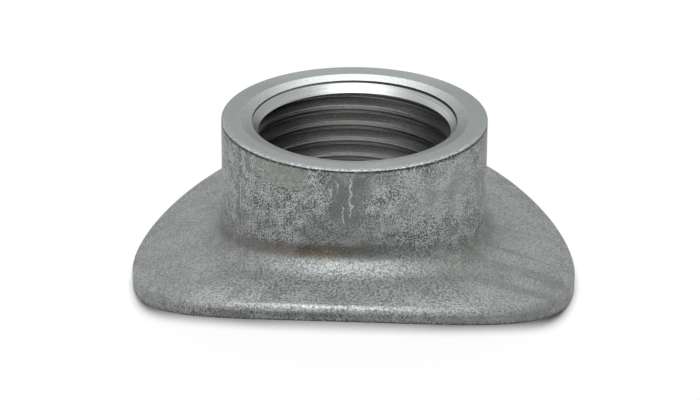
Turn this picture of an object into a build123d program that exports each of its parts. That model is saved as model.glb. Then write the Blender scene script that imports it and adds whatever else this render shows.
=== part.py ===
from build123d import *
import os

# Oxygen sensor weld bung: a threaded collar on a thin saddle, welded over a hole in a pipe.
# The origin is where the thread axis meets the pipe's top line. +Z points up along the
# thread axis and +Y runs along the pipe.

# Driving dimensions, in millimetres
pipe_radius = 38.1  # outside of the pipe that the saddle sits on
saddle_width = 38.2  # across the pipe, seen from above
saddle_length = 36.6  # along the pipe
saddle_thickness = 1.45
upper_edge_radius = 0.45
lower_edge_radius = 0.2
collar_diameter = 22.6
seat_height = 10.4  # above the pipe's top line
root_radius = 2.5
thread_minor_diameter = 16.376  # M18 x 1.5
lead_in_diameter = 17.4
lead_in_depth = 1.18  # from the seat down to the thread
mouth_wall_depth = 0.18  # short upright wall between the seat's bevel and the lead-in
seat_bevel_diameter = 19.36
seat_bevel_depth = 0.23

# The saddle's and the collar's outlines are drawn on the level of the pipe's axis
pipe_axis_level = Plane.XY.offset(-pipe_radius)

with BuildPart() as weld_bung:
    # Oval block, its top trimmed to the saddle's upper surface
    with BuildSketch(pipe_axis_level):
        Ellipse(saddle_width / 2, saddle_length / 2)
    extrude(amount=pipe_radius + seat_height)

    with BuildSketch(Plane.XZ):
        with Locations((0, -pipe_radius)):
            Circle(pipe_radius + saddle_thickness)
    extrude(amount=saddle_length, both=True, mode=Mode.INTERSECT)

    upper_face = weld_bung.faces().sort_by(Axis.Z)[-1]
    fillet(upper_face.edges(), radius=upper_edge_radius)

    # Collar, blended into the saddle along the curve where they meet
    with BuildSketch(pipe_axis_level):
        Circle(collar_diameter / 2)
    extrude(amount=pipe_radius + seat_height)

    root_curve = (
        weld_bung.edges(Select.LAST)
        .filter_by(GeomType.CIRCLE, reverse=True)
        .filter_by(GeomType.LINE, reverse=True)
    )
    fillet(root_curve, radius=root_radius)

    # The pipe leaves its own curve in the underside, and the lower edge is eased
    with BuildSketch(Plane.XZ):
        with Locations((0, -pipe_radius)):
            Circle(pipe_radius)
    extrude(amount=saddle_length, both=True, mode=Mode.SUBTRACT)

    lower_edge = weld_bung.edges(Select.LAST).filter_by(GeomType.LINE, reverse=True)
    fillet(lower_edge, radius=lower_edge_radius)

    # Bore at the thread's minor diameter, its lead-in, and the bevel inside the seat
    with BuildSketch(Plane.XZ):
        with BuildLine():
            Polyline(
                (0, -pipe_radius),
                (thread_minor_diameter / 2, -pipe_radius),
                (thread_minor_diameter / 2, seat_height - lead_in_depth),
                (lead_in_diameter / 2, seat_height - seat_bevel_depth - mouth_wall_depth),
                (lead_in_diameter / 2, seat_height - seat_bevel_depth),
                (seat_bevel_diameter / 2, seat_height),
                (0, seat_height),
                close=True,
            )
        make_face()
    revolve(axis=Axis.Z, mode=Mode.SUBTRACT)

weld_bung.part.label = "weld_bung"

os.makedirs("parts", exist_ok=True)
export_step(weld_bung.part, "parts/weld_bung.step")
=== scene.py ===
import bmesh
import bpy
import math
import numpy as np
from mathutils import Matrix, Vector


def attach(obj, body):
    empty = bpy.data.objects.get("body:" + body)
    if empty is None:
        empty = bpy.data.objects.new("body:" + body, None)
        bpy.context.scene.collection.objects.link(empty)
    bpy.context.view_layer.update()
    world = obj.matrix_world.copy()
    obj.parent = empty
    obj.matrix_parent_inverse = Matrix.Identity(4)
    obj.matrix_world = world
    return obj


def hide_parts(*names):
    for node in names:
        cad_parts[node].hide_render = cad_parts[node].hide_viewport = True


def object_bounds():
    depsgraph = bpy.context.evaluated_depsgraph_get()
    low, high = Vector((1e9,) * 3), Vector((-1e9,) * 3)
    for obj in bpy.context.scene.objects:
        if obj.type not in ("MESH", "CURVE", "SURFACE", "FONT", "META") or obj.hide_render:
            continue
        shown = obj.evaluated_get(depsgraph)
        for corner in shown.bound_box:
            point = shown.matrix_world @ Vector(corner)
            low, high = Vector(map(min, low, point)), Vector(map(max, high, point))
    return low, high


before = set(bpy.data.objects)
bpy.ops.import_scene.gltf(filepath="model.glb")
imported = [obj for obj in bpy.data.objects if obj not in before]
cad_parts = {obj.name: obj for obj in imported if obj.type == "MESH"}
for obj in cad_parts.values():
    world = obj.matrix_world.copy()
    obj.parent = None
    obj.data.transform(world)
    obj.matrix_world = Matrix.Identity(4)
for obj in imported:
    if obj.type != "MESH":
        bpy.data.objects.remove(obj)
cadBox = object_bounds()
print("frame loaded")

mm = 0.001  # one millimetre in metres


# The bung's surface

bung = {  # millimetres
    "pipeRadius": 38.1,
    "saddleHalfWidth": 19.1,
    "saddleHalfLength": 18.3,
    "saddleThickness": 1.45,
    "upperEdge": 0.45,
    "lowerEdge": 0.2,
    "collarRadius": 11.3,
    "seatHeight": 10.4,
    "rimEdge": 0.08,
    "rootRadius": 2.5,
    "bevelRadius": 9.68,
    "bevelDepth": 0.23,
    "mouthRadius": 8.71,
    "mouthStep": 0.18,  # short upright wall under the bevel
    "leadRadius": 8.69,
    "leadEndRadius": 8.19,
    "leadDepth": 1.18,
    "crestRadius": 8.188,
    "threadRootRadius": 9.0,
    "pitch": 1.5,
    "firstCrest": -2.88,  # crest on the +X side, from the seat
    "crestFlat": 0.1,  # along the axis from a crest's middle: where its flat ends
    "crestRound": 0.15,  # where its rounding ends
    "rootRound": 0.62,  # where the root's rounding starts
    "rootFlat": 0.66,  # where the root's flat starts
    "cornerDepth": 0.03,
}

rowsAt = {  # how the rows are laid: counts, or shares of the way along a stretch of the section
    "columns": 512,
    "seatFlat": [1.45, 1.0, 0.6, 0.25, 0.04],  # millimetres outside the bevel
    "cut": [0, 0.04, 0.14, 0.5, 0.96, 1],  # for the bevel and for the lead-in
    "flank": 0.18,  # millimetres from a crest's middle
    "pitches": (-9, 3),  # counted from the first crest, more than are kept
    "cutSteps": 60,
    "underside": [0.04, 0.2, 0.4, 0.6, 0.8, 0.96],
    "lowerArc": 5,
    "edgeFace": [0.33, 0.67],
    "upperArc": 7,
    "saddleTop": 14,
    "rootArc": 19,
    "wall": 13,
    "wallEnd": 0.965,
    "wallTop": [0.982, 1],
    "rim": 4,
    "mergeWithin": 1e-6,  # metres
    "sharpAngle": 40,  # degrees
}

ageing = {  # strengths from 0 to 1. A list has one for each row of its stretch
    "stainAndShadeTurn": 259,  # degrees from +X, middle of the dark band at the root, partly stain and partly painted shade
    "stainAndShadeSpread": 48,  # degrees
    "stainAndShadeRight": 1.25,  # it fades sooner on the right
    "stainAndShadeLeast": 0.14,
    "stainAndShadeUp": (0.78, 0.17),  # middle and half width, as shares of the way up the root
    "sideShade": (0.2, 0.6, 0.3),  # painted shade at the sides of the root: strength, middle and half width
    # Painted highlight on the front of the root: strength, middle and half width
    "rootHighlight": (0.5, 0.35, 0.22),
    "rootScaleAndShade": 0.15,
    "edgeHighlightTurn": (260, 24),  # painted highlight on the saddle's upper edge: degrees from +X, and degrees each way
    "edgeHighlightLeast": 0.05,
    "edgeStainAndShade": (0.3, 0.4),  # stain everywhere, and painted shade added where the upper edge's highlight is painted
    # Painted highlight along the saddle's upper edge, one strength for each row
    "upperArc": [0, 0.3, 0.7, 0.9, 0.7, 0.4, 0],
    # Painted shade along the saddle's lower edge, one strength for each row
    "lowerArc": [0.6, 1, 1, 1, 0.6],
    # Painted highlight on the seat next to the rim, at the front
    "seatFlat": [0.5, 0, 0, 0, 0],
    # Painted highlight on the rim, strongest at the front, with rubbed steel
    "rim": [0.7, 1, 0.8],
    "rimLeast": 0.15,
    "mouthShade": ([-1, -0.3, 0.3, 1], [0.25, 0.65, 1, 1]),  # painted shade in the mouth's step: cosines of the turn, and strengths there
    # Painted shade at the step under the bevel and at the lead-in's foot, more on the right
    "bevelShade": [0, 0, 0, 0, 0, 1],
    "leadShade": [1, 0, 0, 0, 0, 0.5],
    "leadShadeRight": [0, 1, 0.25, 0, 0, 0],
    # First wall row: the root's dark band, partly stain and partly painted shade
    "wallStainAndShade": [0.1] + [0] * 13,
    # Dark line just under the rim
    "wallTopDarkLine": [0] * 12 + [0.9, 1],
}


def pipeLevel(x, radius):
    # Height over the pipe's top line of a cylinder about the pipe's axis:
    # root of (radius squared less x squared), less the pipe's radius
    return np.sqrt(radius ** 2 - x ** 2) - bung["pipeRadius"]


def ballRows(centre, fromSide, toSide, radius, count):
    # Rolling ball between two surfaces: centre plus radius times the unit vector
    # that turns evenly from one contact to the other
    angle = np.arccos(np.clip((fromSide * toSide).sum(axis=-1, keepdims=True), -1, 1))
    share = np.linspace(0, 1, count)[:, None, None]
    turned = np.sin((1 - share) * angle) * fromSide + np.sin(share * angle) * toSide
    return centre + radius * turned / np.sin(angle)


def perRow(values):
    # One value for each row, to be spread over the columns
    return np.asarray(values)[:, None]


def ringPoints(radius, turn, height):
    # Points about the thread's axis: radius times the cosine and sine of the turn, at this height
    radius, turn, height = np.broadcast_arrays(radius, turn, height)
    return np.stack([radius * np.cos(turn), radius * np.sin(turn), height], axis=-1)


def ringRows(radii, heights, turn):
    # Circles about the thread's axis, one for each radius and height
    return ringPoints(perRow(radii), turn, perRow(heights))


def drapedRows(start, end, shares, radius):
    # Straight from start to end when seen from above, and laid on a cylinder about the pipe's axis
    flat = start[:, :2] + np.asarray(shares)[:, None, None] * (end[:, :2] - start[:, :2])
    return np.concatenate([flat, pipeLevel(flat[..., :1], radius)], axis=-1)


def overCrest(z, turn):
    # Height over the crest that starts on the +X side and climbs one pitch a turn
    return z - bung["seatHeight"] - bung["firstCrest"] - bung["pitch"] * turn / (2 * np.pi)


def threadRadius(z, turn):
    # Thread of about 60 degrees, by the height from the nearest crest's middle: flat crest,
    # straight flanks and flat root, with a small corner at each end of a flank
    half = bung["pitch"] / 2
    low, high, corner = bung["crestRadius"], bung["threadRootRadius"], bung["cornerDepth"]
    away = np.abs((overCrest(z, turn) + half) % bung["pitch"] - half)
    places = [0, bung["crestFlat"], bung["crestRound"], bung["rootRound"], bung["rootFlat"], half]
    return np.interp(away, places, [low, low, low + corner, high - corner, high, high])


def mouthRows(turn):
    # Circles on the flat seat, then cones for the bevel and the lead-in:
    # radius and height change evenly from one end to the other
    seat = bung["seatHeight"]
    flatRadii = bung["bevelRadius"] + np.array(rowsAt["seatFlat"])
    seatFlat = ringRows(flatRadii, [seat] * len(flatRadii), turn)
    shares = np.array(rowsAt["cut"])
    bevel = ringRows(
        bung["bevelRadius"] + (bung["mouthRadius"] - bung["bevelRadius"]) * shares,
        seat - bung["bevelDepth"] * shares,
        turn,
    )
    leadTop = bung["bevelDepth"] + bung["mouthStep"]
    leadIn = ringRows(
        bung["leadRadius"] + (bung["leadEndRadius"] - bung["leadRadius"]) * shares,
        seat - leadTop - (bung["leadDepth"] - leadTop) * shares,
        turn,
    )
    return seatFlat, bevel, leadIn


def threadRows(turn):
    # Rows follow the helix and are cut off by the lead-in's foot and by the pipe's curve.
    # Each point also gets its nearness to a crest, and 1 where its flank faces down
    pitch = bung["pitch"]
    footLevel = bung["seatHeight"] - bung["leadDepth"]
    cut = np.zeros_like(turn)
    for _ in range(rowsAt["cutSteps"]):  # the radius at the cut depends on the cut's own height
        cut = pipeLevel(threadRadius(cut, turn) * np.cos(turn), bung["pipeRadius"])

    places = [bung["crestFlat"], bung["crestRound"], rowsAt["flank"], bung["rootRound"], bung["rootFlat"]]
    places = np.concatenate([[0], places, [pitch / 2], pitch - np.array(places[::-1])])
    rises = np.arange(*rowsAt["pitches"])[:, None] * pitch + places
    rises = np.sort(rises.ravel())[::-1]
    heights = rises[:, None] + bung["seatHeight"] + bung["firstCrest"] + pitch * turn / (2 * np.pi)
    heights = np.clip(heights, cut, footLevel)
    used = (heights.max(axis=1) > cut.min()) & (heights.min(axis=1) < footLevel)
    heights = np.concatenate([np.full_like(cut, footLevel)[None], heights[used], cut[None]])

    radii = threadRadius(heights, turn)
    depth = bung["threadRootRadius"] - bung["crestRadius"]
    towardsCrest = (bung["threadRootRadius"] - radii) / depth
    facingDown = ((overCrest(heights, turn) / pitch + 0.5) % 1 < 0.5).astype(float)
    return ringPoints(radii, turn, heights), towardsCrest, facingDown


def edgeRows(turn):
    # Edge of the saddle: balls rolled inside the oval outline, one under the top and one
    # over the pipe's curve, and straight lines between the two
    pipe = bung["pipeRadius"]
    halfWidth, halfLength = bung["saddleHalfWidth"], bung["saddleHalfLength"]
    level = np.zeros_like(turn)
    outline = np.stack([halfWidth * np.cos(turn), halfLength * np.sin(turn)], axis=-1)
    facing = np.stack([halfLength * np.cos(turn), halfWidth * np.sin(turn)], axis=-1)
    facing /= np.linalg.norm(facing, axis=-1, keepdims=True)
    sideways = np.concatenate([facing, level[:, None]], axis=-1)

    def edgeBall(radius, centreRadius, sign):
        # In from the outline by the ball's own radius, at centreRadius from the pipe's axis
        flat = outline - radius * facing
        height = pipeLevel(flat[:, 0], centreRadius)
        centre = np.concatenate([flat, height[:, None]], axis=-1)
        fromAxis = np.stack([flat[:, 0], level, height + pipe], axis=-1)
        return centre, sign * fromAxis / np.linalg.norm(fromAxis, axis=-1, keepdims=True)

    top = pipe + bung["saddleThickness"]
    upperCentre, upperSide = edgeBall(bung["upperEdge"], top - bung["upperEdge"], 1)
    lowerCentre, lowerSide = edgeBall(bung["lowerEdge"], pipe + bung["lowerEdge"], -1)
    upperArc = ballRows(upperCentre, sideways, upperSide, bung["upperEdge"], rowsAt["upperArc"])
    lowerArc = ballRows(lowerCentre, lowerSide, sideways, bung["lowerEdge"], rowsAt["lowerArc"])
    shares = np.array(rowsAt["edgeFace"])[:, None, None]
    edgeFace = lowerArc[-1] + shares * (upperArc[0] - lowerArc[-1])
    return lowerArc, edgeFace, upperArc


def rootRows(turn):
    # Root blend: a ball that touches the collar and the saddle's top. Its centre runs on a circle
    # seen from above, at the saddle's top radius plus its own from the pipe's axis
    spine = bung["collarRadius"] + bung["rootRadius"]
    reach = bung["pipeRadius"] + bung["saddleThickness"] + bung["rootRadius"]
    level = np.zeros_like(turn)
    height = pipeLevel(spine * np.cos(turn), reach)
    centre = ringPoints(spine, turn, height)
    downSide = -np.stack([spine * np.cos(turn), level, height + bung["pipeRadius"]], axis=-1) / reach
    inSide = -np.stack([np.cos(turn), np.sin(turn), level], axis=-1)
    return ballRows(centre, downSide, inSide, bung["rootRadius"], rowsAt["rootArc"])


def wallRows(turn, foot):
    # Straight lines from the root's last row up to the rim, then a quarter circle to the seat
    angles = np.linspace(0, np.pi / 2, rowsAt["rim"])
    radii = bung["collarRadius"] - bung["rimEdge"] * (1 - np.cos(angles))
    heights = bung["seatHeight"] - bung["rimEdge"] * (1 - np.sin(angles))
    wallTop = ringRows(radii[:1], heights[:1], turn)
    shares = np.linspace(0, rowsAt["wallEnd"], rowsAt["wall"])[1:]
    shares = np.concatenate([shares, rowsAt["wallTop"]])[:, None, None]
    wall = foot + shares * (wallTop - foot)
    return wall, ringRows(radii[1:], heights[1:], turn)


def bell(value, middle, width, power=2):
    return np.exp(-((value - middle) / width) ** power)


def rootAges(turn):
    # Dark band in the root, partly stain and partly painted shade, painted shade at its sides, and a
    # painted highlight on the front of the root
    up = np.linspace(0, 1, rowsAt["rootArc"])
    fromStain = (np.degrees(turn) - ageing["stainAndShadeTurn"] + 180) % 360 - 180
    fromStain = np.where(fromStain > 0, ageing["stainAndShadeRight"] * fromStain, fromStain)
    least = ageing["stainAndShadeLeast"]
    around = least + (1 - least) * bell(fromStain, 0, ageing["stainAndShadeSpread"])
    sideStrength, *sideUp = ageing["sideShade"]
    # Dark band, partly stain and partly painted shade
    stainAndPaintedLight = perRow(bell(up, *ageing["stainAndShadeUp"], power=4)) * around
    # Painted shade at the sides of the root
    stainAndPaintedLight = stainAndPaintedLight + perRow(sideStrength * bell(up, *sideUp)) * np.cos(turn) ** 2
    # Painted highlight on the front of the root
    highlightAndWearStrength, *highlightUp = ageing["rootHighlight"]
    highlightAndWear = perRow(highlightAndWearStrength * bell(up, *highlightUp)) * np.clip(-np.sin(turn), 0, 1) ** 2
    # Scale rising up the root, with painted shade
    scaleAndShade = perRow(ageing["rootScaleAndShade"] + (1 - ageing["rootScaleAndShade"]) * up ** 2)
    return scaleAndShade, stainAndPaintedLight, highlightAndWear


finishes = {"outside": 0, "seat": 1, "cut": 2, "thread": 3}


def block(finish, rows, scaleAndShade=0, stainAndPaintedLight=0, highlightAndWear=0, darkLine=0, closing=None):
    # Rows with their finish and masks. The strip after the last row takes the closing finish
    numbers = np.full(len(rows), finishes[finish])
    numbers[-1] = finishes[closing or finish]
    masks = [np.broadcast_to(value, rows.shape[:2]) for value in (scaleAndShade, stainAndPaintedLight, highlightAndWear, darkLine)]
    return rows, numbers, masks


def bungSurface():
    # The section is one closed loop, carried round the axis in columns. Each row is a curve
    # round the part
    turn = np.linspace(0, 2 * np.pi, rowsAt["columns"] + 1)
    pipe = bung["pipeRadius"]
    seatFlat, bevel, leadIn = mouthRows(turn)
    thread, towardsCrest, facingDown = threadRows(turn)
    lowerArc, edgeFace, upperArc = edgeRows(turn)
    underside = drapedRows(thread[-1], lowerArc[0], rowsAt["underside"], pipe)
    rootArc = rootRows(turn)
    topShares = np.linspace(0, 1, rowsAt["saddleTop"])[1:-1]
    saddleTop = drapedRows(upperArc[-1], rootArc[0], topShares, pipe + bung["saddleThickness"])
    wall, rim = wallRows(turn, rootArc[-1])

    # Masks, in the order listed at the end: scale, with painted shade, as upright faces get more of it
    # than the top; dark stain, partly painted shade;
    # a painted highlight, with rubbed steel at the rim; a dark line, painted shade under the edge and at
    # the mouth's step. On the thread, the second marks the flanks that face down, painted paler, and the
    # third rises towards the crests
    near = np.clip(-np.sin(turn), 0, 1)
    right = np.clip(np.cos(turn), 0, 1)
    rootScaleAndShade, rootStainAndShade, rootHighlightMask = rootAges(turn)
    # Painted highlight along the upper edge at the front, and painted shade on the edge face there
    least = ageing["edgeHighlightLeast"]
    edgeHighlightMask = least + (1 - least) * bell(np.degrees(turn), *ageing["edgeHighlightTurn"])
    edgeStainAndShade = ageing["edgeStainAndShade"][0] + ageing["edgeStainAndShade"][1] * edgeHighlightMask
    # Painted highlight on the rim, strongest at the front
    rimHighlightMask = ageing["rimLeast"] + (1 - ageing["rimLeast"]) * near
    # Painted shade in the mouth's step, strongest on the right
    mouthShade = np.interp(np.cos(turn), *ageing["mouthShade"])
    leadShade = perRow(ageing["leadShade"]) * mouthShade + perRow(ageing["leadShadeRight"]) * right
    wallStainAndShade, wallTopDarkLine = perRow(ageing["wallStainAndShade"]), perRow(ageing["wallTopDarkLine"])
    blocks = [
        block("seat", seatFlat, scaleAndShade=0.2, highlightAndWear=perRow(ageing["seatFlat"]) * near),
        block("cut", bevel, darkLine=perRow(ageing["bevelShade"]) * mouthShade),
        block("cut", leadIn, highlightAndWear=1, darkLine=leadShade),
        block("thread", thread, stainAndPaintedLight=facingDown, highlightAndWear=towardsCrest, closing="outside"),
        block("outside", underside, scaleAndShade=0.7, stainAndPaintedLight=0.2),
        block("outside", lowerArc, scaleAndShade=0.9, darkLine=perRow(ageing["lowerArc"])),
        block("outside", edgeFace, scaleAndShade=0.9, stainAndPaintedLight=edgeStainAndShade),
        block("outside", upperArc, scaleAndShade=0.4, highlightAndWear=perRow(ageing["upperArc"]) * edgeHighlightMask),
        block("outside", saddleTop, scaleAndShade=0.12),
        block("outside", rootArc, scaleAndShade=rootScaleAndShade, stainAndPaintedLight=rootStainAndShade, highlightAndWear=rootHighlightMask),
        block("outside", wall, scaleAndShade=1, stainAndPaintedLight=wallStainAndShade, darkLine=wallTopDarkLine),
        block("outside", rim, scaleAndShade=0.2, highlightAndWear=perRow(ageing["rim"]) * rimHighlightMask, closing="seat"),
    ]
    points = np.concatenate([rows for rows, numbers, masks in blocks])
    finish = np.concatenate([numbers for rows, numbers, masks in blocks])
    allMasks = np.concatenate([np.stack(masks) for rows, numbers, masks in blocks], axis=1)
    return points, finish, dict(zip(["scaleAndShade", "stainAndPaintedLight", "highlightAndWear", "darkLine"], allMasks))


def closedMesh(name, points, finish, masks):
    # Quads between neighbouring rows and columns. The last row joins the first, and the last
    # column lies on the first
    rows, columns = points.shape[:2]
    number = np.arange(rows * columns).reshape(rows, columns)
    below = np.roll(number, -1, axis=0)
    quads = np.stack([number[:, :-1], number[:, 1:], below[:, 1:], below[:, :-1]], axis=-1)
    quads = quads.reshape(-1, 4)
    mesh = bpy.data.meshes.new(name)
    mesh.from_pydata((points.reshape(-1, 3) * mm).tolist(), [], quads.tolist())
    mesh.polygons.foreach_set("material_index", np.repeat(finish, columns - 1).astype(np.int32))
    for maskName, values in masks.items():
        attribute = mesh.attributes.new(maskName, "FLOAT", "POINT")
        attribute.data.foreach_set("value", values.ravel().astype(np.float32))
    shell = bmesh.new()
    shell.from_mesh(mesh)
    bmesh.ops.remove_doubles(shell, verts=shell.verts, dist=rowsAt["mergeWithin"])
    shell.to_mesh(mesh)
    openEdges = sum(1 for edge in shell.edges if len(edge.link_faces) != 2)
    volume = round(shell.calc_volume(signed=True) / mm ** 3, 1)
    print("mesh", name, len(mesh.polygons), "faces, open edges", openEdges, "cubic mm", volume)
    shell.free()
    mesh.shade_smooth()
    mesh.set_sharp_from_angle(angle=math.radians(rowsAt["sharpAngle"]))
    return mesh


bungMesh = closedMesh("bung_body", *bungSurface())
bungPiece = bpy.data.objects.new("bung_body", bungMesh)
bpy.context.scene.collection.objects.link(bungPiece)
print("surface made")


# Finishes

def newGroup(name, inputs, outputs):
    # Shader node group with named sockets: each input is a name, a kind and a value
    group = bpy.data.node_groups.new(name, "ShaderNodeTree")
    for label, kind, value in inputs:
        socket = group.interface.new_socket(name=label, in_out="INPUT", socket_type=kind)
        if value is not None:
            socket.default_value = value
    for label, kind in outputs:
        group.interface.new_socket(name=label, in_out="OUTPUT", socket_type=kind)
    start = group.nodes.new("NodeGroupInput")
    end = group.nodes.new("NodeGroupOutput")
    return group, start.outputs, end.inputs


def wire(tree, value, socket):
    # A socket is linked, and anything else is the socket's own value
    if isinstance(value, bpy.types.NodeSocket):
        tree.links.new(value, socket)
    else:
        socket.default_value = value


def calculate(tree, operation, first, second=0.0, third=0.0, clamp=False):
    node = tree.nodes.new("ShaderNodeMath")
    node.operation = operation
    node.use_clamp = clamp
    for place, value in enumerate((first, second, third)):
        wire(tree, value, node.inputs[place])
    return node.outputs[0]


def ramp(tree, value, low, high, toLow=0.0, toHigh=1.0):
    # Smooth step from low to high
    node = tree.nodes.new("ShaderNodeMapRange")
    node.interpolation_type = "SMOOTHSTEP"
    settings = {"Value": value, "From Min": low, "From Max": high, "To Min": toLow, "To Max": toHigh}
    for label, setting in settings.items():
        wire(tree, setting, node.inputs[label])
    return node.outputs["Result"]


def noise(tree, vector, scale, detail=2.0, roughness=0.5, distortion=0.0):
    node = tree.nodes.new("ShaderNodeTexNoise")
    settings = {"Scale": scale, "Detail": detail, "Roughness": roughness, "Distortion": distortion}
    wire(tree, vector, node.inputs["Vector"])
    for label, setting in settings.items():
        wire(tree, setting, node.inputs[label])
    return node.outputs["Fac"]


def mixColour(tree, amount, first, second):
    node = tree.nodes.new("ShaderNodeMix")
    node.data_type = "RGBA"
    wire(tree, amount, node.inputs[0])
    wire(tree, first, node.inputs[6])
    wire(tree, second, node.inputs[7])
    return node.outputs[2]


def stretched(tree, vector, scale, turn=(0, 0, 0)):
    node = tree.nodes.new("ShaderNodeMapping")
    node.inputs["Rotation"].default_value = turn
    node.inputs["Scale"].default_value = scale
    wire(tree, vector, node.inputs["Vector"])
    return node.outputs["Vector"]


def axes(tree, vector):
    # The vector's X, Y and Z
    node = tree.nodes.new("ShaderNodeSeparateXYZ")
    tree.links.new(vector, node.inputs[0])
    return node.outputs


def perMetre(tree, millimetres):
    # Noise scale for a grain of this size
    return calculate(tree, "DIVIDE", 1 / mm, millimetres)


def aboutZero(tree, value):
    # Noise runs from 0 to 1. This puts its middle at zero
    return calculate(tree, "SUBTRACT", value, 0.5)


effects = {  # noises: detail, roughness and, where there is a third, distortion
    "grainNoise": (3.0, 0.6, 0.3),
    "clusterNoise": (3.0, 0.55),
    "speckLevel": (-0.3, 0.65),  # change with the coverage, and the level without any
    "speckSoftness": 0.05,
    "ringNoise": (2.0, 0.6),
    "ringsByAngle": 0.02,
    "highlightAndWearNoise": (4.0, 0.65),
    "highlightAndWearRange": (0.45, 0.58),
}


def blastGrainGroup():
    # Fine blasted grain: light specks in clusters, and a height for the bump. Sizes in millimetres
    group, given, made = newGroup(
        "blastGrain",
        [
            ("Position", "NodeSocketVector", None),
            ("Grain Size", "NodeSocketFloat", 0.15),
            ("Cluster Size", "NodeSocketFloat", 1.5),
            ("Clustering", "NodeSocketFloat", 0.5),
            ("Coverage", "NodeSocketFloat", 0.5),
        ],
        [("Specks", "NodeSocketFloat"), ("Grain", "NodeSocketFloat")],
    )
    grainScale = perMetre(group, given["Grain Size"])
    fine = noise(group, given["Position"], grainScale, *effects["grainNoise"])
    clusterScale = perMetre(group, given["Cluster Size"])
    broad = noise(group, given["Position"], clusterScale, *effects["clusterNoise"])
    clustered = calculate(group, "MULTIPLY_ADD", aboutZero(group, broad), given["Clustering"], fine)

    # More coverage lowers the level that a speck has to reach
    level = calculate(group, "MULTIPLY_ADD", given["Coverage"], *effects["speckLevel"])
    lower = calculate(group, "SUBTRACT", level, effects["speckSoftness"])
    upper = calculate(group, "ADD", level, effects["speckSoftness"])
    group.links.new(ramp(group, clustered, lower, upper), made["Specks"])
    group.links.new(fine, made["Grain"])
    return group


def turnedRingsGroup():
    # Tool rings about the thread's axis: noise that changes with radius and height, hardly with angle
    group, given, made = newGroup(
        "turnedRings",
        [("Position", "NodeSocketVector", None), ("Ring Size", "NodeSocketFloat", 0.1)],
        [("Rings", "NodeSocketFloat")],
    )
    x, y, z = axes(group, given["Position"])
    acrossSquared, alongSquared = (calculate(group, "POWER", side, 2.0) for side in (x, y))
    radius = calculate(group, "SQRT", calculate(group, "ADD", acrossSquared, alongSquared))
    join = group.nodes.new("ShaderNodeCombineXYZ")
    group.links.new(radius, join.inputs[0])
    group.links.new(calculate(group, "MULTIPLY", x, effects["ringsByAngle"]), join.inputs[1])
    group.links.new(z, join.inputs[2])
    ringScale = perMetre(group, given["Ring Size"])
    rings = noise(group, join.outputs[0], ringScale, *effects["ringNoise"])
    group.links.new(rings, made["Rings"])
    return group


def highlightAndWearGroup():
    # Painted highlights, with rubbed steel at the rim: the mask, broken up by noise
    group, given, made = newGroup(
        "highlightAndWearPatches",
        [
            ("Position", "NodeSocketVector", None),
            ("Mask", "NodeSocketFloat", 0.0),
            ("Patch Size", "NodeSocketFloat", 0.6),
        ],
        [("HighlightAndWear", "NodeSocketFloat")],
    )
    patchScale = perMetre(group, given["Patch Size"])
    patches = noise(group, given["Position"], patchScale, *effects["highlightAndWearNoise"])
    patches = ramp(group, patches, *effects["highlightAndWearRange"])
    broken = calculate(group, "MULTIPLY", given["Mask"], patches, clamp=True)
    group.links.new(broken, made["HighlightAndWear"])
    return group


blastGrain = blastGrainGroup()
turnedRings = turnedRingsGroup()
highlightAndWearPatches = highlightAndWearGroup()


def addGroup(tree, group, values):
    node = tree.nodes.new("ShaderNodeGroup")
    node.node_tree = group
    for label, setting in values.items():
        wire(tree, setting, node.inputs[label])
    return node.outputs


def mask(tree, name):
    node = tree.nodes.new("ShaderNodeAttribute")
    node.attribute_name = name
    return node.outputs["Fac"]


def metal(name, settings):
    # Principled metal with its constants on its own sockets. Gives the piece's own coordinates too
    material = bpy.data.materials.new(name)
    material.use_nodes = True
    tree = material.node_tree
    shader = tree.nodes["Principled BSDF"]
    shader.inputs["Metallic"].default_value = 1
    for label, value in settings.items():
        shader.inputs[label].default_value = value
    place = tree.nodes.new("ShaderNodeTexCoord").outputs["Object"]
    return material, tree, shader, place


def bump(tree, shader, height, depth):
    # depth is in metres
    node = tree.nodes.new("ShaderNodeBump")
    node.inputs["Strength"].default_value = 1
    node.inputs["Distance"].default_value = depth
    wire(tree, height, node.inputs["Height"])
    tree.links.new(node.outputs["Normal"], shader.inputs["Normal"])


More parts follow.
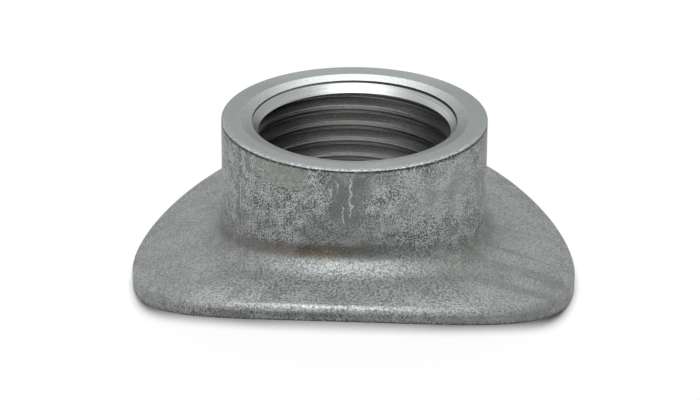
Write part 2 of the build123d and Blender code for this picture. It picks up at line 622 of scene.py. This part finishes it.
outside = {  # ranges are from, to, and the strengths there. Lengths in them are in metres
    "shader": {"Metallic": 0.4, "Specular IOR Level": 0.12, "Specular Tint": (0.6, 0.6, 0.6, 1)},
    "steel": (0.284, 0.302, 0.303, 1),
    "steelOlive": (0.273, 0.286, 0.267, 1),
    # Paler steel for the front of the saddle: painted light
    "frontPaintedLight": (0.44, 0.457, 0.462, 1),
    "scale": (0.085, 0.090, 0.084, 1),
    "scalePale": (0.405, 0.422, 0.413, 1),
    "smoothScale": (0.135, 0.143, 0.135, 1),
    "oliveScale": (0.24, 0.252, 0.227, 1),
    # Dark stain, partly painted shade
    "stainAndPaintedLight": (0.042, 0.043, 0.038, 1),
    "stainBrown": (0.098, 0.08, 0.052, 1),
    "stainRed": (0.12, 0.104, 0.097, 1),
    # Pale steel for painted highlights, and for rubbed steel at the rim
    "highlightAndRubbed": (0.62, 0.63, 0.62, 1),
    # Dark line: painted shade under the saddle's edge, and the line under the rim
    "darkLine": (0.03, 0.03, 0.028, 1),
    "skinGrain": {"Grain Size": 0.12, "Cluster Size": 1.2, "Clustering": 0.28, "Coverage": 0.52},
    "fineGrain": {"Grain Size": 0.2, "Cluster Size": 3.0, "Clustering": 0.25, "Coverage": 0.5},
    "grainByDepth": (-0.015, 0.006, 1.0, 0.85),  # plainest at the front
    # Where the front is painted paler
    "frontBand": (-0.0155, -0.009, 1.0, 0.0),
    "pitting": 0.75,
    "tintNoise": (140.0, 3.0, 0.5),  # scale per metre, and the rest as in effects
    "tintRange": (0.48, 0.68),
    "streakTurn": -14,  # degrees
    "streakStretch": (50, 500, 50),
    "streakNoise": (1.0, 5.0, 0.6, 0.3),
    "streakRange": (0.47, 0.6),
    "streakByWidth": (0.008, 0.013, 0.12, 0.42),  # plainest on the right
    "smoothNoise": (330.0, 2.0, 0.5),
    "smoothRange": (0.56, 0.64),
    "smoothing": 0.45,
    "raggedNoise": (600.0, 4.0, 0.65),
    "driftNoise": (1300.0, 3.0, 0.65),
    "stainAndShadeRange": (0.3, 0.6, 0.7, 1.0),
    "darkLineRange": (0.3, 0.5),
    # Painted highlights and rubbed steel: patch size, strength, and less roughness
    "highlightAndWearPatch": 0.22,
    "highlightAndWearStrength": 0.6,
    "roughness": 0.38,
    "roughnessByGrain": 0.4,
    "highlightAndWearPolish": 0.12,
    "grainShares": (0.6, 0.4),  # of the fine grain and of the skin's
    "grainDepth": 0.00011,
    "veins": [  # degrees from the front, lowest and highest point in mm, half width in mm
        (1.6, 6.0, 9.9, 0.07),
        (-1.3, 5.2, 7.4, 0.06),
        (-4.5, 8.2, 9.7, 0.05),
        (-7.0, 7.6, 9.3, 0.04),
        (-54.0, 3.9, 7.6, 0.06),
        (15.0, 4.4, 6.6, 0.05),
    ],
    "veinDrift": 0.11,  # radians
    "veinEnds": (0.0006, 0.0004),
    "veinSoftness": (0.5, 1.5),  # where a vein starts to fade and is gone, in half widths
    "patches": [  # colour, strength, degrees from the front and each way, lowest and highest point in mm
        ("smoothScale", 0.8, -0.5, 11.0, 5.2, 10.8),
        ("smoothScale", 0.5, 0.0, 26.0, 3.2, 7.2),
        ("scalePale", 0.28, 42.0, 36.0, 4.0, 10.9),
        ("oliveScale", 0.6, -28.0, 15.0, 7.9, 10.9),
        ("oliveScale", 0.5, 42.0, 45.0, -5.4, 1.4),
    ],
    "stainPatches": [
        ("stainBrown", 0.65, -13.0, 17.0, 0.9, 4.0),
        ("stainRed", 0.9, -42.0, 22.0, 0.9, 4.6),
    ],
    "patchRaggedness": 2.2,
    "patchRange": (0.5, 1.0, 1.0, 0.0),
}


def patchMask(tree, look, angle, height, ragged, turn, halfTurn, low, high):
    # Patch on the collar with a ragged outline: 1 well inside the angles and heights given
    middle, halfHeight = (low + high) / 2 * mm, (high - low) / 2 * mm
    fromTurn = calculate(tree, "ABSOLUTE", calculate(tree, "SUBTRACT", angle, math.radians(turn)))
    fromTurn = calculate(tree, "DIVIDE", fromTurn, math.radians(halfTurn))
    fromMiddle = calculate(tree, "ABSOLUTE", calculate(tree, "SUBTRACT", height, middle))
    fromMiddle = calculate(tree, "DIVIDE", fromMiddle, halfHeight)
    away = calculate(tree, "MAXIMUM", fromTurn, fromMiddle)
    away = calculate(tree, "MULTIPLY_ADD", aboutZero(tree, ragged), look["patchRaggedness"], away)
    return ramp(tree, away, *look["patchRange"])


def veinMask(tree, look, angle, height, drift, turn, low, high, halfWidth):
    # Pale line that wanders about one angle as it runs up the collar, between two heights
    across = calculate(tree, "MULTIPLY_ADD", aboutZero(tree, drift), look["veinDrift"], angle)
    away = calculate(tree, "ABSOLUTE", calculate(tree, "SUBTRACT", across, math.radians(turn)))
    halfWidth = halfWidth / bung["collarRadius"]
    fadeStart, fadeEnd = look["veinSoftness"]
    line = ramp(tree, away, halfWidth * fadeStart, halfWidth * fadeEnd, 1.0, 0.0)
    low, high = low * mm, high * mm
    lowerEnd, upperEnd = look["veinEnds"]
    inside = ramp(tree, height, low, low + lowerEnd)
    inside = calculate(tree, "MULTIPLY", inside, ramp(tree, height, high - upperEnd, high, 1.0, 0.0))
    return calculate(tree, "MULTIPLY", line, inside)


def outsideMaterial(look):
    # Blasted skin: pale steel with fine dark grain, dark and pale scale and veins on the collar,
    # and stains in the root. Painted light too: scale laid more on upright faces, painted shade in the
    # root, a front painted paler, painted highlights and lines of painted shade
    material, tree, shader, place = metal("blasted_steel", look["shader"])
    scaleAndShade, stainAndPaintedLight, highlightAndWear, darkLine = (mask(tree, name) for name in ("scaleAndShade", "stainAndPaintedLight", "highlightAndWear", "darkLine"))
    skin = addGroup(tree, blastGrain, {"Position": place, **look["skinGrain"]})
    fine = addGroup(tree, blastGrain, {"Position": place, **look["fineGrain"]})
    x, y, z = axes(tree, place)
    grainDepth = ramp(tree, y, *look["grainByDepth"])
    angle = calculate(tree, "ARCTAN2", x, calculate(tree, "MULTIPLY", y, -1.0))

    # Saddle: broad tints, faint streaks that run across the pipe, a front painted paler as painted light,
    # and dark pits
    tint = noise(tree, place, *look["tintNoise"])
    pale = mixColour(tree, ramp(tree, tint, *look["tintRange"]), look["steel"], look["steelOlive"])
    turned = stretched(tree, place, (1, 1, 1), (0, 0, math.radians(look["streakTurn"])))
    streaks = noise(tree, stretched(tree, turned, look["streakStretch"]), *look["streakNoise"])
    streaks = ramp(tree, streaks, *look["streakRange"])
    streaks = calculate(tree, "MULTIPLY", streaks, ramp(tree, x, *look["streakByWidth"]))
    pale = mixColour(tree, streaks, pale, look["scale"])
    pale = mixColour(tree, ramp(tree, y, *look["frontBand"]), pale, look["frontPaintedLight"])
    pitted = calculate(tree, "MULTIPLY", calculate(tree, "SUBTRACT", 1.0, fine["Specks"]), grainDepth)
    pale = mixColour(tree, calculate(tree, "MULTIPLY", pitted, look["pitting"]), pale, look["scale"])

    # Collar: pale skin broken by dark pits, smooth patches between, and the veins
    ragged = noise(tree, place, *look["raggedNoise"])

    def patched(colour, patches):
        for patchColour, strength, *limits in patches:
            patch = patchMask(tree, look, angle, z, ragged, *limits)
            patch = calculate(tree, "MULTIPLY", patch, strength)
            colour = mixColour(tree, patch, colour, look[patchColour])
        return colour

    scaled = mixColour(tree, skin["Specks"], look["scale"], look["scalePale"])
    smooth = ramp(tree, noise(tree, place, *look["smoothNoise"]), *look["smoothRange"])
    smooth = calculate(tree, "MULTIPLY", smooth, look["smoothing"])
    scaled = patched(mixColour(tree, smooth, scaled, look["smoothScale"]), look["patches"])
    drift = noise(tree, place, *look["driftNoise"])
    veins = None
    for limits in look["veins"]:
        vein = veinMask(tree, look, angle, z, drift, *limits)
        veins = vein if veins is None else calculate(tree, "MAXIMUM", veins, vein)
    scaled = mixColour(tree, veins, scaled, look["scalePale"])
    # Scale where the first mask says so, laid more on upright faces as painted shade
    colour = mixColour(tree, scaleAndShade, pale, scaled)

    # Over both: stains, partly painted shade; painted highlights, with rubbed steel at the rim; and dark
    # lines, painted shade under the edge
    stainAndPaintedLight = calculate(tree, "MULTIPLY", stainAndPaintedLight, ramp(tree, fine["Grain"], *look["stainAndShadeRange"]))
    colour = mixColour(tree, stainAndPaintedLight, colour, patched(look["stainAndPaintedLight"], look["stainPatches"]))
    wearSettings = {"Position": place, "Mask": highlightAndWear, "Patch Size": look["highlightAndWearPatch"]}
    brokenHighlightAndWear = addGroup(tree, highlightAndWearPatches, wearSettings)["HighlightAndWear"]
    highlightAndRubbed = calculate(tree, "MULTIPLY", brokenHighlightAndWear, look["highlightAndWearStrength"])
    colour = mixColour(tree, highlightAndRubbed, colour, look["highlightAndRubbed"])
    darkLine = calculate(tree, "MULTIPLY", darkLine, ramp(tree, fine["Grain"], *look["darkLineRange"]))
    colour = mixColour(tree, darkLine, colour, look["darkLine"])
    tree.links.new(colour, shader.inputs["Base Color"])

    rough = aboutZero(tree, fine["Grain"])
    rough = calculate(tree, "MULTIPLY_ADD", rough, look["roughnessByGrain"], look["roughness"])
    polish = calculate(tree, "MULTIPLY", brokenHighlightAndWear, look["highlightAndWearPolish"])
    tree.links.new(calculate(tree, "SUBTRACT", rough, polish), shader.inputs["Roughness"])
    fineShare, skinShare = look["grainShares"]
    height = calculate(tree, "MULTIPLY", skin["Grain"], skinShare)
    height = calculate(tree, "MULTIPLY_ADD", fine["Grain"], fineShare, height)
    bump(tree, shader, calculate(tree, "MULTIPLY", height, grainDepth), look["grainDepth"])
    return material


seatLook = {
    "steel": (0.168, 0.18, 0.179, 1),
    "dull": (0.12, 0.128, 0.127, 1),
    "speck": (0.36, 0.37, 0.375, 1),
    # Paler steel at the back of the seat: painted light
    "farPaintedLight": (0.202, 0.215, 0.214, 1),
    # Pale steel for the painted highlight next to the rim
    "highlightAndRubbed": (0.60, 0.61, 0.60, 1),
    "grain": {"Grain Size": 0.12, "Cluster Size": 3.0, "Clustering": 0.5, "Coverage": 0.35},
    "ringSize": 0.12,
    "dulling": 0.3,
    "ringRange": (0.4, 0.7, 0.0, 0.15),
    "farRange": (0.006, 0.0095),
    "nearRange": (-0.0108, -0.0065, 0.3, 0.0),
    "highlightAndWearPatch": 0.22,
    "roughness": 0.27,
    "roughnessByGrain": 0.3,
    "ringHeight": 0.4,
    "grainDepth": 0.000012,
}


def seatMaterial(look):
    # Faced seat: even steel with faint rings, dulled in patches, painted lighter at the back as painted
    # light and specked at the front, with a painted highlight next to the rim
    material, tree, shader, place = metal("faced_seat", {})
    fine = addGroup(tree, blastGrain, {"Position": place, **look["grain"]})
    rings = addGroup(tree, turnedRings, {"Position": place, "Ring Size": look["ringSize"]})["Rings"]
    y = axes(tree, place)[1]
    dulled = calculate(tree, "MULTIPLY", fine["Specks"], look["dulling"])
    colour = mixColour(tree, dulled, look["steel"], look["dull"])
    colour = mixColour(tree, ramp(tree, rings, *look["ringRange"]), colour, look["dull"])
    # Painted light: paler towards the back
    colour = mixColour(tree, ramp(tree, y, *look["farRange"]), colour, look["farPaintedLight"])
    near = calculate(tree, "MULTIPLY", ramp(tree, y, *look["nearRange"]), fine["Specks"])
    colour = mixColour(tree, near, colour, look["speck"])
    # Painted highlight next to the rim
    wearSettings = {"Position": place, "Mask": mask(tree, "highlightAndWear"), "Patch Size": look["highlightAndWearPatch"]}
    colour = mixColour(tree, addGroup(tree, highlightAndWearPatches, wearSettings)["HighlightAndWear"], colour, look["highlightAndRubbed"])
    tree.links.new(colour, shader.inputs["Base Color"])
    rough = calculate(tree, "MULTIPLY_ADD", fine["Grain"], look["roughnessByGrain"], look["roughness"])
    tree.links.new(rough, shader.inputs["Roughness"])
    height = calculate(tree, "MULTIPLY_ADD", rings, look["ringHeight"], fine["Grain"])
    bump(tree, shader, height, look["grainDepth"])
    return material


cutLook = {
    "shader": {"Anisotropic": 0.8},
    "steel": (0.205, 0.215, 0.215, 1),
    "dull": (0.165, 0.172, 0.172, 1),
    # Darker at the sides: painted shade
    "sidePaintedShade": (0.15, 0.158, 0.158, 1),
    # Paler lead-in, paler still on the right: painted light
    "leadPaintedLight": (0.38, 0.395, 0.395, 1),
    "leadRightPaintedLight": (0.56, 0.58, 0.58, 1),
    # Dark line: painted shade at the step and at the lead-in's foot
    "darkLine": (0.04, 0.045, 0.042, 1),
    "grain": {"Grain Size": 0.25, "Cluster Size": 3.0, "Clustering": 0.5, "Coverage": 0.4},
    "ringSize": 0.1,
    "sideShadeRange": (0.004, 0.009),
    "rightRange": (0.004, 0.0085),
    "ringRange": (0.35, 0.7, 0.0, 0.4),
    "roughness": 0.2,
    "roughnessByGrain": 0.2,
    "ringDepth": 0.000004,
}


def cutMaterial(look):
    # Bright turned bevel and lead-in, with tool rings. The highlight mask tells the lead-in from the
    # bevel. Painted light: a paler lead-in, more so on the right, darker bevel sides, and painted shade
    # at the step
    material, tree, shader, place = metal("bright_cut", look["shader"])
    tangent = tree.nodes.new("ShaderNodeTangent")
    tangent.direction_type = "RADIAL"
    tangent.axis = "Z"
    tree.links.new(tangent.outputs["Tangent"], shader.inputs["Tangent"])
    rings = addGroup(tree, turnedRings, {"Position": place, "Ring Size": look["ringSize"]})["Rings"]
    fine = addGroup(tree, blastGrain, {"Position": place, **look["grain"]})
    x = axes(tree, place)[0]
    # Painted shade at the bevel's sides, and painted light on the lead-in, more on the right
    aside = ramp(tree, calculate(tree, "ABSOLUTE", x), *look["sideShadeRange"])
    colour = mixColour(tree, aside, look["steel"], look["sidePaintedShade"])
    leadPaintedLight = mixColour(tree, ramp(tree, x, *look["rightRange"]), look["leadPaintedLight"], look["leadRightPaintedLight"])
    colour = mixColour(tree, mask(tree, "highlightAndWear"), colour, leadPaintedLight)
    colour = mixColour(tree, ramp(tree, rings, *look["ringRange"]), colour, look["dull"])
    # Painted shade at the step and at the lead-in's foot
    colour = mixColour(tree, mask(tree, "darkLine"), colour, look["darkLine"])
    tree.links.new(colour, shader.inputs["Base Color"])
    rough = calculate(tree, "MULTIPLY_ADD", fine["Grain"], look["roughnessByGrain"], look["roughness"])
    tree.links.new(rough, shader.inputs["Roughness"])
    bump(tree, shader, rings, look["ringDepth"])
    return material


threadLook = {
    "shader": {"Metallic": 0.9},
    # Tones by nearness to the crest are painted light and shade: paler roots, darker flanks and corners
    "root": (0.19, 0.192, 0.186, 1),
    "deepFlank": (0.235, 0.237, 0.23, 1),
    "flank": (0.11, 0.112, 0.107, 1),
    # Flanks that face down: painted paler
    "underFlankPaintedLight": (0.34, 0.342, 0.335, 1),
    "corner": (0.06, 0.06, 0.058, 1),
    # Painted highlight on the crests
    "crest": (0.50, 0.50, 0.49, 1),
    # Painted shade at the sides of the bore
    "sidesPaintedShade": (0.022, 0.024, 0.022, 1),
    "grain": {"Grain Size": 0.13, "Cluster Size": 2.0, "Clustering": 0.4, "Coverage": 0.45},
    "ringSize": 0.15,
    "deepFlankRange": (0.03, 0.12),  # by nearness to the crest
    "flankRange": (0.15, 0.7),
    "cornerRange": (0.82, 0.92),
    "crestRange": (0.98, 1.0),
    "ringRange": (0.4, 0.7, 0.0, 0.3),
    "crestBreakRange": (0.25, 0.55, 0.45, 1.0),
    "firstCrestFade": (0.0007, 0.0003, 1.0, 0.1),  # metres under the lead-in's foot, and strengths
    "sideShadeRange": (0.003, 0.0085, 0.0, 0.85),
    "roughness": 0.2,
    "roughnessByGrain": 0.2,
    "ringHeight": 0.5,
    "grainDepth": 0.000006,
}


def threadMaterial(look):
    # Cut thread: dark in the roots and at the sides, pale crests. Its tones are painted light and shade:
    # set by nearness to the crest, paler where flanks face down, painted shade at the sides and a painted
    # highlight on the crests, broken by grain
    material, tree, shader, place = metal("cut_thread", look["shader"])
    towardsCrest = mask(tree, "highlightAndWear")
    fine = addGroup(tree, blastGrain, {"Position": place, **look["grain"]})
    rings = addGroup(tree, turnedRings, {"Position": place, "Ring Size": look["ringSize"]})["Rings"]
    x, y, z = axes(tree, place)
    deepFlank = ramp(tree, towardsCrest, *look["deepFlankRange"])
    colour = mixColour(tree, deepFlank, look["root"], look["deepFlank"])
    colour = mixColour(tree, ramp(tree, towardsCrest, *look["flankRange"]), colour, look["flank"])
    colour = mixColour(tree, ramp(tree, towardsCrest, *look["cornerRange"]), colour, look["corner"])
    # Flanks that face down, painted paler
    colour = mixColour(tree, mask(tree, "stainAndPaintedLight"), colour, look["underFlankPaintedLight"])
    colour = mixColour(tree, ramp(tree, rings, *look["ringRange"]), colour, look["corner"])

    # Painted highlight on the crests, broken up by grain, fading out under the lead-in
    crest = ramp(tree, towardsCrest, *look["crestRange"])
    crest = calculate(tree, "MULTIPLY", crest, ramp(tree, fine["Grain"], *look["crestBreakRange"]))
    foot = (bung["seatHeight"] - bung["leadDepth"]) * mm
    fadeLow, fadeHigh, *strengths = look["firstCrestFade"]
    faded = ramp(tree, z, foot - fadeLow, foot - fadeHigh, *strengths)
    crest = calculate(tree, "MULTIPLY", crest, faded)
    colour = mixColour(tree, crest, colour, look["crest"])
    # Painted shade at the sides of the bore
    aside = ramp(tree, calculate(tree, "ABSOLUTE", x), *look["sideShadeRange"])
    colour = mixColour(tree, aside, colour, look["sidesPaintedShade"])
    tree.links.new(colour, shader.inputs["Base Color"])
    rough = calculate(tree, "MULTIPLY_ADD", fine["Grain"], look["roughnessByGrain"], look["roughness"])
    tree.links.new(rough, shader.inputs["Roughness"])
    height = calculate(tree, "MULTIPLY_ADD", rings, look["ringHeight"], fine["Grain"])
    bump(tree, shader, height, look["grainDepth"])
    return material


# In the order of the finishes' numbers
bungMesh.materials.append(outsideMaterial(outside))
bungMesh.materials.append(seatMaterial(seatLook))
bungMesh.materials.append(cutMaterial(cutLook))
bungMesh.materials.append(threadMaterial(threadLook))

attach(bungPiece, "root")
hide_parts("weld_bung")
print("finishes made")


# Floor, light and camera

studio = {  # metres and degrees
    "floorRadius": 0.6,
    "floorPoints": 96,
    "floorColour": (0.93, 0.93, 0.93, 1),
    "floorGlow": (0.0, 0.975),  # share of plain white seen in the floor, under the piece and beyond it
    "shadowReach": (0.026, 0.0078),  # half width and half depth of the floor that shows the shadow
    "shadowFade": (0.97, 1.4),  # as shares of the reach
    "skyForDiffuse": 0.15,
    "lamps": {  # name: place, size across and along, and radiance
        "front_softbox": ((-0.03, -0.4, 0.6), (0.9, 0.8), 3.4),
        "back_strip": ((0, 0.5, 0.6), (0.5, 0.3), 5.4),
    },
    "cameraPlace": (0.0146631, -0.2729407, 0.1264073),
    "cameraTurn": 3.1467,
    "cameraTilt": 65.6461,
    "cameraRoll": 0.3399,
    "lens": 180,  # millimetres
    "sensorWidth": 36,  # millimetres
    "clip": (0.01, 20),
}


def discMesh(name, radius, level):
    # Flat disc: a circle of points about the middle, all at one level
    turn = np.linspace(0, 2 * np.pi, studio["floorPoints"] + 1)[:-1]
    ring = ringPoints(radius, turn, level)
    mesh = bpy.data.meshes.new(name)
    mesh.from_pydata(ring.tolist(), [], [list(range(len(ring)))])
    return mesh


def seenDirectly(tree):
    # 1 for camera, mirror and see-through rays, 0 for soft light
    rays = tree.nodes.new("ShaderNodeLightPath")
    seen = calculate(tree, "ADD", rays.outputs["Is Camera Ray"], rays.outputs["Is Glossy Ray"])
    return calculate(tree, "ADD", seen, rays.outputs["Is Transmission Ray"], clamp=True)


def floorMaterial(look):
    # Pale floor that shows the shadow close to the piece and goes over to plain white beyond it
    material = bpy.data.materials.new("pale_floor")
    material.use_nodes = True
    tree = material.node_tree
    shader = tree.nodes["Principled BSDF"]
    shader.inputs["Base Color"].default_value = look["floorColour"]
    shader.inputs["Roughness"].default_value = 1
    shader.inputs["Specular IOR Level"].default_value = 0
    reachAcross, reachAlong = look["shadowReach"]
    place = tree.nodes.new("ShaderNodeTexCoord").outputs["Object"]
    away = tree.nodes.new("ShaderNodeVectorMath")
    away.operation = "LENGTH"
    tree.links.new(stretched(tree, place, (1 / reachAcross, 1 / reachAlong, 0)), away.inputs[0])
    white = ramp(tree, away.outputs["Value"], *look["shadowFade"], *look["floorGlow"])
    glow = tree.nodes.new("ShaderNodeEmission")
    share = tree.nodes.new("ShaderNodeMixShader")
    tree.links.new(calculate(tree, "MULTIPLY", seenDirectly(tree), white), share.inputs[0])
    tree.links.new(shader.outputs[0], share.inputs[1])
    tree.links.new(glow.outputs[0], share.inputs[2])
    tree.links.new(share.outputs[0], tree.nodes["Material Output"].inputs["Surface"])
    return material


floor = bpy.data.objects.new("floor", discMesh("floor", studio["floorRadius"], cadBox[0][2]))
bpy.context.scene.collection.objects.link(floor)
floor.data.materials.append(floorMaterial(studio))

world = bpy.data.worlds.new("studio_sky")
bpy.context.scene.world = world
world.use_nodes = True
skyTree = world.node_tree
sky = skyTree.nodes["Background"]
sky.inputs["Color"].default_value = (1, 1, 1, 1)
soft = studio["skyForDiffuse"]
skyStrength = calculate(skyTree, "MULTIPLY_ADD", seenDirectly(skyTree), 1 - soft, soft)
skyTree.links.new(skyStrength, sky.inputs["Strength"])

for lampName, (lampPlace, lampSize, radiance) in studio["lamps"].items():
    lampData = bpy.data.lights.new(lampName, "AREA")
    lampData.shape = "RECTANGLE"
    lampData.size, lampData.size_y = lampSize
    lampData.energy = radiance * math.pi * lampSize[0] * lampSize[1]
    lamp = bpy.data.objects.new(lampName, lampData)
    lamp.location = lampPlace
    bpy.context.scene.collection.objects.link(lamp)

cameraData = bpy.data.cameras.new("photo_camera")
cameraData.lens = studio["lens"]
cameraData.sensor_width = studio["sensorWidth"]
cameraData.clip_start, cameraData.clip_end = studio["clip"]
camera = bpy.data.objects.new("photo_camera", cameraData)
aim = Matrix.Rotation(math.radians(studio["cameraTurn"]), 4, "Z")
aim = aim @ Matrix.Rotation(math.radians(studio["cameraTilt"]), 4, "X")
aim = aim @ Matrix.Rotation(math.radians(studio["cameraRoll"]), 4, "Z")
camera.matrix_world = Matrix.Translation(studio["cameraPlace"]) @ aim
bpy.context.scene.collection.objects.link(camera)
bpy.context.scene.camera = camera
bpy.context.scene.view_settings.view_transform = "Standard"
print("studio set")
